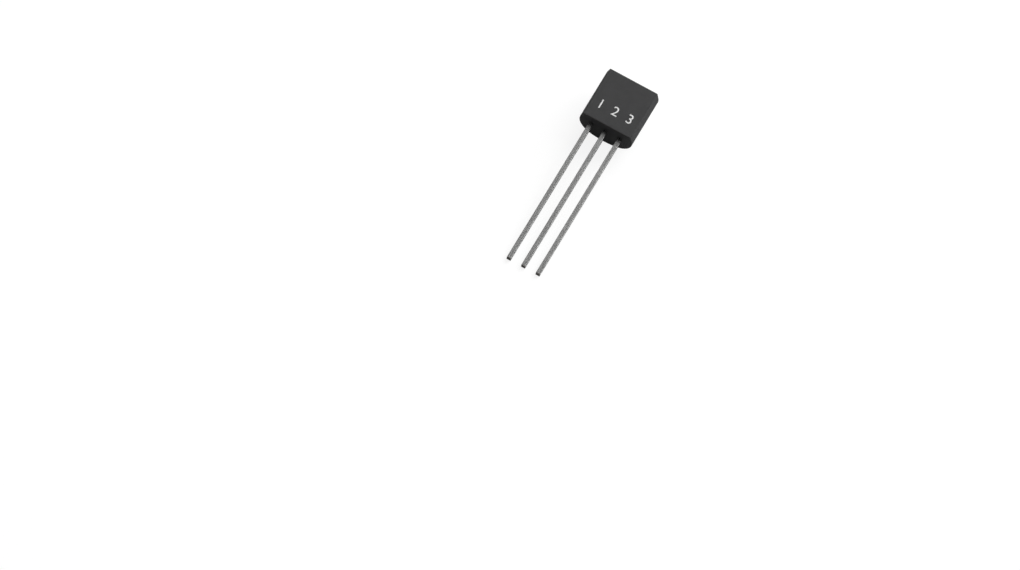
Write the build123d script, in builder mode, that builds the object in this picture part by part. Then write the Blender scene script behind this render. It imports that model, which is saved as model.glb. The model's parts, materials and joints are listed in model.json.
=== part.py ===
"""Three-lead transistor in a D-shaped moulded plastic package, lying on its round back.

The package has a flat front face, two flared side walls that run smoothly into the round
back, and a round ejector mark on the back. Three straight stamped leads leave its underside. Inside, the middle lead widens into the flag that carries the
silicon die, and each outer lead ends in a post that a bond wire joins to the die.

Sizes are in millimetres. The package's own directions are:
  across   along the row of leads, from lead 1 to lead 3
  depth    from the flat front face to the round back
  up       along the leads, from their tips to the top of the package
All heights are counted from the underside, and all depths from the flat front face.

The part lies with the flat face upwards. It rests on the lower edge of the round back and
on the three lead tips, so it leans by a few degrees. The row frame has +X across, +Y from
the lead tips to the package and +Z upwards, with its origin on the floor, under the
middle of the part's bounding box.
"""

import math
import os

from build123d import *

# ---------------------------------------------------------------- driving dimensions
# Moulded package
BODY_WIDTH = 4.60  # at the middle of the leads' depth, where the body is widest
BODY_HEIGHT = 4.44
BODY_DEPTH = 2.88
SIDE_DRAFT = 14.0  # degrees by which each side wall spreads away from the flat face
SHOULDER_TURN = 74.0  # degrees the back turns from its widest point before its flatter crown
BODY_EDGE_RADIUS = 0.07
MARK_DIAMETER = 1.48  # ejector mark on the round back
MARK_DEPTH = 0.45
MARK_HEIGHT = 2.22

# Leads outside the package
LEAD_PITCH = 1.27
LEAD_WIDTH = 0.36
LEAD_THICKNESS = 0.40
LEAD_LENGTH = 13.25
LEAD_DEPTH = 1.07  # to the middle of the lead's thickness
LEAD_EDGE_RADIUS = 0.03

# Leads inside the package
EAR_WIDTH = 0.62  # shoulders that lock each lead into the moulding
EAR_START = 0.45
EAR_HEIGHT = 0.40
POST_START = 1.20  # bond posts on the outer leads
POST_HEIGHT = 1.35
POST_INNER = 0.14  # from the lead's middle to the post's side that faces the flag
POST_OUTER = 0.55
FLAG_START = 1.45  # die flag on the middle lead
FLAG_HEIGHT = 1.95
FLAG_GAP = 0.28  # between the flag and each post
HEAD_CORNER_RADIUS = 0.10

# Die, its solder and the bond wires
DIE_SIDE = 0.55
DIE_THICKNESS = 0.20
SOLDER_MARGIN = 0.04  # how far the solder shows round the die
SOLDER_THICKNESS = 0.03
DIE_TO_FLAG_TOP = 0.85  # from the die's middle to the flag's upper edge
PAD_OFFSET = 0.13  # bond pads, across and up from the die's middle
WIRE_DIAMETER = 0.05
BALL_DIAMETER = 0.13
BALL_HEIGHT = 0.04
LOOP_HEIGHT = 0.24  # of the wire's middle line above the die
LOOP_DROP = 0.06  # how far the wire has come down where it turns towards the post
LOOP_TURN = 0.55  # share of the wire's run where it turns towards the post
LOOP_BEND_RADIUS = 0.09
STITCH_LENGTH = 0.17  # flattened foot of the wire on the post
STITCH_WIDTH = 0.09
STITCH_THICKNESS = 0.02
STITCH_TO_POST_TOP = 0.35

# ---------------------------------------------------------------- resting position
# The floor touches the lower faces of the lead tips and the rounded lower edge of the back.
tip_depth = LEAD_DEPTH + LEAD_THICKNESS / 2
edge_depth = BODY_DEPTH - BODY_EDGE_RADIUS
edge_run = LEAD_LENGTH + BODY_EDGE_RADIUS
LEAN = math.atan2(edge_depth - tip_depth, edge_run) + math.asin(
    BODY_EDGE_RADIUS / math.hypot(edge_depth - tip_depth, edge_run)
)

across = Vector(1, 0, 0)
depth = Vector(0, math.sin(LEAN), -math.cos(LEAN))
up = Vector(0, math.cos(LEAN), math.sin(LEAN))

highest_y = edge_depth * depth.Y + (BODY_HEIGHT - BODY_EDGE_RADIUS) * up.Y + BODY_EDGE_RADIUS
lowest_y = (LEAD_DEPTH - LEAD_THICKNESS / 2) * depth.Y - LEAD_LENGTH * up.Y
front_foot = Vector(
    0,
    -(highest_y + lowest_y) / 2,
    LEAD_LENGTH * up.Z - tip_depth * depth.Z,
)  # middle of the flat face's lower edge


def at(x, y, z):
    """The point x across, y deep and z up from the middle of the flat face's lower edge."""
    return front_foot + across * x + depth * y + up * z


# Local X is across on each plane. Local Y is depth on the underside, and up on the others.
underside = Plane(origin=at(0, 0, 0), x_dir=across, z_dir=up)
lead_middle = Plane(origin=at(0, LEAD_DEPTH, 0), x_dir=across, z_dir=-depth)
lead_front = lead_middle.offset(LEAD_THICKNESS / 2)
solder_front = lead_front.offset(SOLDER_THICKNESS)
up_axis = Axis(at(0, 0, 0), up)
depth_axis = Axis(at(0, 0, 0), depth)
back_crown = Plane(origin=at(0, BODY_DEPTH, 0), x_dir=across, z_dir=-depth)

die_height = FLAG_START + FLAG_HEIGHT - DIE_TO_FLAG_TOP
stitch_height = POST_START + POST_HEIGHT - STITCH_TO_POST_TOP
flag_half_width = LEAD_PITCH - POST_INNER - FLAG_GAP


# ---------------------------------------------------------------- leads
def make_lead(name, middle, head_start, head_height, head_left, head_right):
    """One stamped lead: shank, locking ears and the head inside the package.

    middle is the shank's place across. head_left and head_right are the head's sides,
    counted from the shank's middle.
    """
    with BuildPart() as lead:
        with BuildSketch(lead_middle):
            with Locations((middle, -LEAD_LENGTH)):
                Rectangle(LEAD_WIDTH, LEAD_LENGTH + head_start, align=(Align.CENTER, Align.MIN))
            with Locations((middle, EAR_START)):
                Rectangle(EAR_WIDTH, EAR_HEIGHT, align=(Align.CENTER, Align.MIN))
        extrude(amount=LEAD_THICKNESS / 2, both=True)
        with BuildSketch(lead_middle):
            with Locations((middle + (head_left + head_right) / 2, head_start)):
                RectangleRounded(
                    head_right - head_left,
                    head_height,
                    HEAD_CORNER_RADIUS,
                    align=(Align.CENTER, Align.MIN),
                )
        extrude(amount=LEAD_THICKNESS / 2, both=True)
        shank_edges = lead.edges().filter_by(lambda edge: edge.length > LEAD_LENGTH)
        fillet(shank_edges, LEAD_EDGE_RADIUS)
    lead.part.label = name
    return lead


lead_emitter = make_lead(
    "lead_emitter", -LEAD_PITCH, POST_START, POST_HEIGHT, -POST_OUTER, POST_INNER
)
lead_collector = make_lead(
    "lead_collector", 0, FLAG_START, FLAG_HEIGHT, -flag_half_width, flag_half_width
)
lead_base = make_lead("lead_base", LEAD_PITCH, POST_START, POST_HEIGHT, -POST_INNER, POST_OUTER)

# ---------------------------------------------------------------- die and its solder
with BuildPart() as die_solder:
    with BuildSketch(lead_front):
        with Locations((0, die_height)):
            Rectangle(DIE_SIDE + 2 * SOLDER_MARGIN, DIE_SIDE + 2 * SOLDER_MARGIN)
    extrude(amount=SOLDER_THICKNESS)
die_solder.part.label = "die_solder"

with BuildPart() as silicon_die:
    with BuildSketch(solder_front):
        with Locations((0, die_height)):
            Rectangle(DIE_SIDE, DIE_SIDE)
    extrude(amount=DIE_THICKNESS)
silicon_die.part.label = "silicon_die"


# ---------------------------------------------------------------- bond wires
def make_bond_wire(name, side):
    """One wire: ball on the die's pad, loop, and stitch on the post. side is -1 or 1."""
    die_front_depth = LEAD_DEPTH - LEAD_THICKNESS / 2 - SOLDER_THICKNESS - DIE_THICKNESS
    post_middle = (POST_OUTER - POST_INNER) / 2
    pad = at(side * PAD_OFFSET, die_front_depth, die_height + side * PAD_OFFSET)
    foot = at(side * (LEAD_PITCH + post_middle), die_front_depth, stitch_height)
    run = (foot - pad).length
    drop = SOLDER_THICKNESS + DIE_THICKNESS
    along = (foot - pad).normalized()
    loop_plane = Plane(origin=pad, x_dir=along, z_dir=along.cross(-depth))
    pad_plane = Plane(origin=pad, x_dir=along, z_dir=-depth)
    foot_plane = Plane(origin=foot + depth * drop, x_dir=along, z_dir=-depth)
    with BuildPart() as wire:
        with BuildLine(loop_plane) as path:
            FilletPolyline(
                (0, 0),
                (0, LOOP_HEIGHT),
                (LOOP_TURN * run, LOOP_HEIGHT - LOOP_DROP),
                (run, -drop),
                radius=LOOP_BEND_RADIUS,
            )
        with BuildSketch(pad_plane):
            Circle(WIRE_DIAMETER / 2)
        sweep(path=path.line)
        split(bisect_by=foot_plane, keep=Keep.TOP)
        with BuildSketch(pad_plane):
            Circle(BALL_DIAMETER / 2)
        extrude(amount=BALL_HEIGHT)
        with BuildSketch(foot_plane):
            SlotOverall(STITCH_LENGTH, STITCH_WIDTH)
        extrude(amount=STITCH_THICKNESS)
    wire.part.label = name
    return wire


bond_wire_emitter = make_bond_wire("bond_wire_emitter", -1)
bond_wire_base = make_bond_wire("bond_wire_base", 1)

# ---------------------------------------------------------------- moulded package
inserts = (
    lead_emitter,
    lead_collector,
    lead_base,
    die_solder,
    silicon_die,
    bond_wire_emitter,
    bond_wire_base,
)

# The back is half an oval of three arcs: two shoulders and a crown, all tangent.
half_width = BODY_WIDTH / 2
rise = BODY_DEPTH - LEAD_DEPTH
turn = math.radians(SHOULDER_TURN)
draft = math.radians(SIDE_DRAFT)
centre_distance = (half_width - rise) / (math.sin(turn) + math.cos(turn) - 1)
shoulder_radius = half_width - centre_distance * math.cos(turn)
crown_radius = shoulder_radius + centre_distance
shoulder_x = half_width - shoulder_radius
wall_x = shoulder_x + shoulder_radius * math.cos(draft)
wall_depth = LEAD_DEPTH - shoulder_radius * math.sin(draft)
half_flat = wall_x - wall_depth * math.tan(draft)

with BuildPart() as moulded_body:
    with BuildSketch(underside):
        with BuildLine():
            Polyline((-wall_x, wall_depth), (-half_flat, 0), (half_flat, 0), (wall_x, wall_depth))
            CenterArc(
                (shoulder_x, LEAD_DEPTH), shoulder_radius, -SIDE_DRAFT, SIDE_DRAFT + SHOULDER_TURN
            )
            CenterArc(
                (0, BODY_DEPTH - crown_radius), crown_radius, SHOULDER_TURN, 180 - 2 * SHOULDER_TURN
            )
            CenterArc(
                (-shoulder_x, LEAD_DEPTH),
                shoulder_radius,
                180 - SHOULDER_TURN,
                SIDE_DRAFT + SHOULDER_TURN,
            )
        make_face()
    extrude(amount=BODY_HEIGHT)
    end_edges = moulded_body.faces().filter_by(up_axis).edges()
    flat_corners = moulded_body.edges().filter_by(up_axis).sort_by(depth_axis)[:2]
    fillet(end_edges + flat_corners, BODY_EDGE_RADIUS)
    with BuildSketch(back_crown):
        with Locations((0, MARK_HEIGHT)):
            Circle(MARK_DIAMETER / 2)
    extrude(amount=MARK_DEPTH, mode=Mode.SUBTRACT)
    for insert in inserts:
        add(insert.part, mode=Mode.SUBTRACT)
moulded_body.part.label = "moulded_body"

# ---------------------------------------------------------------- export
os.makedirs("parts", exist_ok=True)
for piece in (*inserts, moulded_body):
    export_step(piece.part, f"parts/{piece.part.label}.step")
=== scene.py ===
import json
import math

import bpy
from mathutils import Matrix, Vector


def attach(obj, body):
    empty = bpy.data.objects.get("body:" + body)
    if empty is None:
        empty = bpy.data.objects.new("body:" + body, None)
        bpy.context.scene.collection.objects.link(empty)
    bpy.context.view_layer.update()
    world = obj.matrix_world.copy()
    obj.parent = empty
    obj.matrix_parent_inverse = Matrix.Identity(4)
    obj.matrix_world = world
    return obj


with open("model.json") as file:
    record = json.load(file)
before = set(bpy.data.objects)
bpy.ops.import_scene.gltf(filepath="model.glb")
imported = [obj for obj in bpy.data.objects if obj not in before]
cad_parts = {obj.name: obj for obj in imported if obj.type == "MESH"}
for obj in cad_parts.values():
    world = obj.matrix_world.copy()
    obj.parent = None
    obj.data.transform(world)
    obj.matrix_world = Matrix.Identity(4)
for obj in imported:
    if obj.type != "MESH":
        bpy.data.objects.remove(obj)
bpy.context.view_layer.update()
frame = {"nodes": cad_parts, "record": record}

MM = 0.001

# ---------------------------------------------------------------- the part's own directions
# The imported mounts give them: the flat face looks along its axis, and the leads leave the
# underside along its axis. The part's origin is the middle of the flat face's lower edge.
mounts = {mount["name"]: mount for mount in frame["record"]["mounts"]}
outward = Vector(mounts["flat_face"]["axis"]).normalized()
up = -Vector(mounts["underside"]["axis"]).normalized()
across = up.cross(outward)
face_middle = Vector(mounts["flat_face"]["pos_m"])
body_height = 2 * (face_middle - Vector(mounts["underside"]["pos_m"])).dot(up)
part_origin = face_middle - up * body_height / 2
lead_length = (part_origin - Vector(mounts["lead_row"]["pos_m"])).dot(up)
part_axes = Matrix((across, up, outward)).transposed().to_4x4()
part_frame = Matrix.Translation(part_origin) @ part_axes

# ---------------------------------------------------------------- view
CAMERA_AZIMUTH = math.radians(12.96)  # 0 would look along +Y
CAMERA_ELEVATION = math.radians(58.96)
CAMERA_ROLL = math.radians(17.31)  # counterclockwise, as the camera sees itself
CAMERA_DISTANCE = 1.0
PICTURE_WIDTH = 78.02 * MM  # what the picture takes in at the part
LOOK_AT = Vector((-0.127, -10.752, 0.0)) * MM  # the point of the floor in the picture's middle

# ---------------------------------------------------------------- print on the flat face
INK_THICKNESS = 0.008 * MM
INK_SINK = 0.004 * MM  # how far the ink's underside lies in the moulding
LEAD_PITCH = 1.27 * MM
NUMBER_HEIGHT = 0.84 * MM
NUMBER_MIDDLE = 1.37 * MM  # above the underside
DIGIT_SHARE = 0.73  # of the font's size that its digits are high

# ---------------------------------------------------------------- floor and room
FLOOR_HALF_SIDE = 1.6
FLOOR_GREY = (0.52, 0.52, 0.52, 1.0)
FLOOR_WHITE_TO_CAMERA = 0.62  # the rest of what the camera sees keeps the shadow
FLOOR_WHITE_TO_GLOSS = 0.05
FLOOR_WHITE_STRENGTH = 1.4
ROOM_FRONT = 0.08  # the room's level on the -Y side, in front of the underside
ROOM_BACK = 0.30
WHITE = (1.0, 1.0, 1.0, 1.0)


# ---------------------------------------------------------------- shader helpers
def new_material(name):
    """A material with its node tree, and its principled shader."""
    material = bpy.data.materials.new(name)
    material.use_nodes = True
    return material, material.node_tree, material.node_tree.nodes["Principled BSDF"]


def part_coordinates(tree, stretch=(1.0, 1.0, 1.0)):
    """The socket of a point's millimetres across, up and out of the flat face.

    stretch divides each of them, which draws a texture out along that direction.
    """
    place = tree.nodes.new("ShaderNodeTexCoord")
    turn = tree.nodes.new("ShaderNodeMapping")
    turn.vector_type = "TEXTURE"
    turn.inputs["Location"].default_value = part_origin
    turn.inputs["Rotation"].default_value = part_axes.to_euler()
    turn.inputs["Scale"].default_value = [MM * share for share in stretch]
    tree.links.new(place.outputs["Object"], turn.inputs["Vector"])
    return turn.outputs["Vector"]


def noise(tree, coordinates, scale, detail=3.0, roughness=0.5):
    """The value of a noise with about this many features in a millimetre."""
    texture = tree.nodes.new("ShaderNodeTexNoise")
    texture.inputs["Scale"].default_value = scale
    texture.inputs["Detail"].default_value = detail
    texture.inputs["Roughness"].default_value = roughness
    tree.links.new(coordinates, texture.inputs["Vector"])
    return texture.outputs["Fac"]


def spread(tree, value, from_low, from_high, to_low, to_high):
    """The value carried from one range to another, and kept inside it."""
    node = tree.nodes.new("ShaderNodeMapRange")
    limits = {"From Min": from_low, "From Max": from_high, "To Min": to_low, "To Max": to_high}
    for socket, limit in limits.items():
        node.inputs[socket].default_value = limit
    tree.links.new(value, node.inputs["Value"])
    return node.outputs["Result"]


def blend_colours(tree, share, first, second):
    """A colour from first to second as share goes from 0 to 1. Either may be a socket."""
    node = tree.nodes.new("ShaderNodeMix")
    node.data_type = "RGBA"
    sockets = [socket for socket in node.inputs if socket.type == "RGBA"]
    tree.links.new(share, node.inputs["Factor"])
    for socket, colour in zip(sockets, (first, second)):
        if isinstance(colour, bpy.types.NodeSocket):
            tree.links.new(colour, socket)
        else:
            socket.default_value = (*colour, 1.0)
    return next(socket for socket in node.outputs if socket.type == "RGBA")


def bump(tree, shader, height, depth, strength=1.0):
    """Raises the surface by up to depth where height is 1."""
    node = tree.nodes.new("ShaderNodeBump")
    node.inputs["Strength"].default_value = strength
    node.inputs["Distance"].default_value = depth
    tree.links.new(height, node.inputs["Height"])
    tree.links.new(node.outputs["Normal"], shader.inputs["Normal"])


def axis_value(tree, coordinates, axis):
    """One of the three coordinates, by its letter."""
    node = tree.nodes.new("ShaderNodeSeparateXYZ")
    tree.links.new(coordinates, node.inputs["Vector"])
    return node.outputs[axis]


# ---------------------------------------------------------------- materials
def make_moulding():
    """Near-black epoxy with the fine spark-eroded texture of its mould."""
    material, tree, shader = new_material("moulding")
    place = part_coordinates(tree)
    cloud = noise(tree, place, 1.3, 4.0)
    grain = noise(tree, place, 26.0, 3.0, 0.6)
    tone = spread(tree, cloud, 0.35, 0.65, 0.0, 1.0)
    speckle = spread(tree, grain, 0.3, 0.7, 0.0, 0.45)
    dark = blend_colours(tree, tone, (0.056, 0.056, 0.057), (0.063, 0.063, 0.064))
    colour = blend_colours(tree, speckle, dark, (0.086, 0.086, 0.087))
    tree.links.new(colour, shader.inputs["Base Color"])
    tree.links.new(spread(tree, grain, 0.3, 0.7, 0.50, 0.62), shader.inputs["Roughness"])
    shader.inputs["Specular IOR Level"].default_value = 0.14
    bump(tree, shader, grain, 0.004 * MM, 0.8)
    return material


def make_plated_lead():
    """Satin tin plate, drawn out along the lead, with bare metal at the sheared tip."""
    material, tree, shader = new_material("plated_lead")
    place = part_coordinates(tree)
    drawn = part_coordinates(tree, (1.0, 14.0, 1.0))
    streaks = noise(tree, drawn, 14.0, 4.0, 0.6)
    cloud = noise(tree, place, 2.2, 3.0)
    along = axis_value(tree, place, "Y")
    tip = -lead_length / MM
    bare = spread(tree, along, tip + 0.02, tip + 0.06, 1.0, 0.0)
    plated = blend_colours(
        tree, spread(tree, cloud, 0.35, 0.65, 0.0, 1.0), (0.38, 0.38, 0.375), (0.42, 0.42, 0.415)
    )
    colour = blend_colours(tree, bare, plated, (0.23, 0.215, 0.20))
    tree.links.new(colour, shader.inputs["Base Color"])
    tree.links.new(spread(tree, streaks, 0.3, 0.7, 0.20, 0.32), shader.inputs["Roughness"])
    shader.inputs["Metallic"].default_value = 1.0
    bump(tree, shader, streaks, 0.002 * MM, 0.4)
    return material


def make_ink():
    """White printed ink, slightly thin over the moulding's texture."""
    material, tree, shader = new_material("marking_ink")
    place = part_coordinates(tree)
    grain = noise(tree, place, 26.0, 3.0, 0.6)
    cover = spread(tree, grain, 0.30, 0.44, 0.0, 1.0)
    colour = blend_colours(tree, cover, (0.84, 0.84, 0.83), (0.93, 0.93, 0.92))
    tree.links.new(colour, shader.inputs["Base Color"])
    shader.inputs["Roughness"].default_value = 0.6
    bump(tree, shader, grain, 0.003 * MM, 0.5)
    return material


def make_solder():
    """Dull, slightly lumpy solder."""
    material, tree, shader = new_material("solder")
    lumps = noise(tree, part_coordinates(tree), 9.0, 3.0)
    colour = blend_colours(tree, lumps, (0.36, 0.36, 0.37), (0.56, 0.56, 0.56))
    tree.links.new(colour, shader.inputs["Base Color"])
    tree.links.new(spread(tree, lumps, 0.3, 0.7, 0.35, 0.55), shader.inputs["Roughness"])
    shader.inputs["Metallic"].default_value = 1.0
    bump(tree, shader, lumps, 0.006 * MM)
    return material


def make_silicon():
    """Polished silicon with the faint cells of its metal film."""
    material, tree, shader = new_material("silicon")
    cells = tree.nodes.new("ShaderNodeTexBrick")
    cells.inputs["Scale"].default_value = 16.0
    cells.inputs["Color1"].default_value = (0.20, 0.21, 0.25, 1.0)
    cells.inputs["Color2"].default_value = (0.26, 0.27, 0.30, 1.0)
    cells.inputs["Mortar"].default_value = (0.07, 0.08, 0.12, 1.0)
    tree.links.new(part_coordinates(tree), cells.inputs["Vector"])
    tree.links.new(cells.outputs["Color"], shader.inputs["Base Color"])
    shader.inputs["Metallic"].default_value = 0.6
    shader.inputs["Roughness"].default_value = 0.18
    return material


def make_gold():
    """Drawn gold wire."""
    material, tree, shader = new_material("bond_wire")
    grain = noise(tree, part_coordinates(tree), 40.0, 2.0)
    colour = blend_colours(tree, grain, (0.78, 0.53, 0.18), (0.92, 0.68, 0.30))
    tree.links.new(colour, shader.inputs["Base Color"])
    tree.links.new(spread(tree, grain, 0.3, 0.7, 0.18, 0.30), shader.inputs["Roughness"])
    shader.inputs["Metallic"].default_value = 1.0
    return material


finishes = {
    "moulding": make_moulding(),
    "plated_lead": make_plated_lead(),
    "solder": make_solder(),
    "silicon": make_silicon(),
    "bond_wire": make_gold(),
}
slots = {row["node"]: row["material_slot"] for row in frame["record"]["subparts"]}
for name, node in frame["nodes"].items():
    node.data.materials.clear()
    node.data.materials.append(finishes[slots[name]])


# ---------------------------------------------------------------- print
ink = make_ink()


def print_on_face(name, curve, middle):
    """A flat curve as a film of ink, with its middle that far across and up the flat face."""
    curve.extrude = (INK_THICKNESS + INK_SINK) / 2
    drawing = bpy.data.objects.new(name + "_curve", curve)
    bpy.context.scene.collection.objects.link(drawing)
    bpy.context.view_layer.update()
    graph = bpy.context.evaluated_depsgraph_get()
    mesh = bpy.data.meshes.new_from_object(drawing.evaluated_get(graph))
    mesh.name = name
    lift = (INK_THICKNESS - INK_SINK) / 2
    mesh.transform(part_frame @ Matrix.Translation((*middle, lift)))
    mesh.materials.clear()
    mesh.materials.append(ink)
    bpy.data.objects.remove(drawing)
    piece = bpy.data.objects.new(name, mesh)
    bpy.context.scene.collection.objects.link(piece)
    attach(piece, "root")


def make_number(text, middle):
    """A pin's number above its lead."""
    curve = bpy.data.curves.new("number_" + text, "FONT")
    curve.body = text
    curve.align_x = "CENTER"
    curve.align_y = "CENTER"
    curve.size = NUMBER_HEIGHT / DIGIT_SHARE
    print_on_face("number_" + text, curve, middle)


for index in range(3):
    make_number(str(index + 1), ((index - 1) * LEAD_PITCH, NUMBER_MIDDLE))


# ---------------------------------------------------------------- stage
def seen_as_white(tree, camera_share, glossy_share):
    """How much of a ray's view is plain white: one share for camera rays, one for glossy."""
    path = tree.nodes.new("ShaderNodeLightPath")
    shares = []
    for ray, share in (("Is Camera Ray", camera_share), ("Is Glossy Ray", glossy_share)):
        node = tree.nodes.new("ShaderNodeMath")
        node.operation = "MULTIPLY"
        node.inputs[1].default_value = share
        tree.links.new(path.outputs[ray], node.inputs[0])
        shares.append(node.outputs["Value"])
    total = tree.nodes.new("ShaderNodeMath")
    total.operation = "MAXIMUM"
    for share, socket in zip(shares, total.inputs):
        tree.links.new(share, socket)
    return total.outputs["Value"]


def make_floor():
    """A pale floor. The camera sees it as white, with a faint shadow of the part."""
    mesh = bpy.data.meshes.new("floor")
    sides = ((-1, -1), (1, -1), (1, 1), (-1, 1))
    corners = [(x * FLOOR_HALF_SIDE, y * FLOOR_HALF_SIDE, 0) for x, y in sides]
    mesh.from_pydata(corners, [], [(0, 1, 2, 3)])
    floor = bpy.data.objects.new("floor", mesh)
    bpy.context.scene.collection.objects.link(floor)
    material, tree, shader = new_material("floor")
    shader.inputs["Base Color"].default_value = FLOOR_GREY
    shader.inputs["Roughness"].default_value = 0.9
    shader.inputs["Specular IOR Level"].default_value = 0.0
    white = tree.nodes.new("ShaderNodeEmission")
    white.inputs["Strength"].default_value = FLOOR_WHITE_STRENGTH
    mix = tree.nodes.new("ShaderNodeMixShader")
    share = seen_as_white(tree, FLOOR_WHITE_TO_CAMERA, FLOOR_WHITE_TO_GLOSS)
    tree.links.new(share, mix.inputs["Fac"])
    tree.links.new(shader.outputs["BSDF"], mix.inputs[1])
    tree.links.new(white.outputs["Emission"], mix.inputs[2])
    tree.links.new(mix.outputs["Shader"], tree.nodes["Material Output"].inputs["Surface"])
    mesh.materials.append(material)


def make_world():
    """A soft room that is dimmer on the -Y side, and which the camera sees as white."""
    world = bpy.data.worlds.new("studio")
    bpy.context.scene.world = world
    world.use_nodes = True
    tree = world.node_tree
    room = tree.nodes["Background"]
    room.inputs["Color"].default_value = WHITE
    direction = tree.nodes.new("ShaderNodeTexCoord")
    backward = axis_value(tree, direction.outputs["Generated"], "Y")
    level = spread(tree, backward, -0.35, 0.1, ROOM_FRONT, ROOM_BACK)
    tree.links.new(level, room.inputs["Strength"])
    white = tree.nodes.new("ShaderNodeBackground")
    white.inputs["Color"].default_value = WHITE
    mix = tree.nodes.new("ShaderNodeMixShader")
    tree.links.new(seen_as_white(tree, 1.0, 0.0), mix.inputs["Fac"])
    tree.links.new(room.outputs["Background"], mix.inputs[1])
    tree.links.new(white.outputs["Background"], mix.inputs[2])
    tree.links.new(mix.outputs["Shader"], tree.nodes["World Output"].inputs["Surface"])


def towards(azimuth, elevation):
    """The direction from the part at these angles. Azimuth 0 is -Y, and 90 degrees is +X."""
    level = math.cos(elevation)
    return Vector(
        (math.sin(azimuth) * level, -math.cos(azimuth) * level, math.sin(elevation))
    )


def make_softbox(name, azimuth, elevation, distance, size, watts):
    """A square light that faces the part from that direction, in degrees."""
    back = towards(math.radians(azimuth), math.radians(elevation))
    data = bpy.data.lights.new(name, "AREA")
    data.size = size
    data.energy = watts
    lamp = bpy.data.objects.new(name, data)
    bpy.context.scene.collection.objects.link(lamp)
    lamp.location = back * distance
    lamp.rotation_euler = (-back).to_track_quat("-Z", "Y").to_euler()
    lamp.visible_camera = False


def make_camera():
    """A long lens, nearly without perspective, rolled so that the leads run to lower left."""
    data = bpy.data.cameras.new("camera")
    data.lens = data.sensor_width * CAMERA_DISTANCE / PICTURE_WIDTH
    data.clip_start = 0.05
    data.clip_end = 20.0
    camera = bpy.data.objects.new("camera", data)
    bpy.context.scene.collection.objects.link(camera)
    back = towards(CAMERA_AZIMUTH, CAMERA_ELEVATION)
    camera.location = LOOK_AT + back * CAMERA_DISTANCE
    level = (-back).to_track_quat("-Z", "Y").to_matrix()
    camera.rotation_euler = (level @ Matrix.Rotation(CAMERA_ROLL, 3, "Z")).to_euler()
    bpy.context.scene.camera = camera


make_floor()
make_world()
make_softbox("key", azimuth=160, elevation=40, distance=0.45, size=0.40, watts=2.1)
make_softbox("top", azimuth=200, elevation=74, distance=0.50, size=0.45, watts=0.06)
make_softbox("side", azimuth=108, elevation=22, distance=0.50, size=0.14, watts=0.30)
make_camera()
bpy.context.scene.view_settings.view_transform = "Standard"
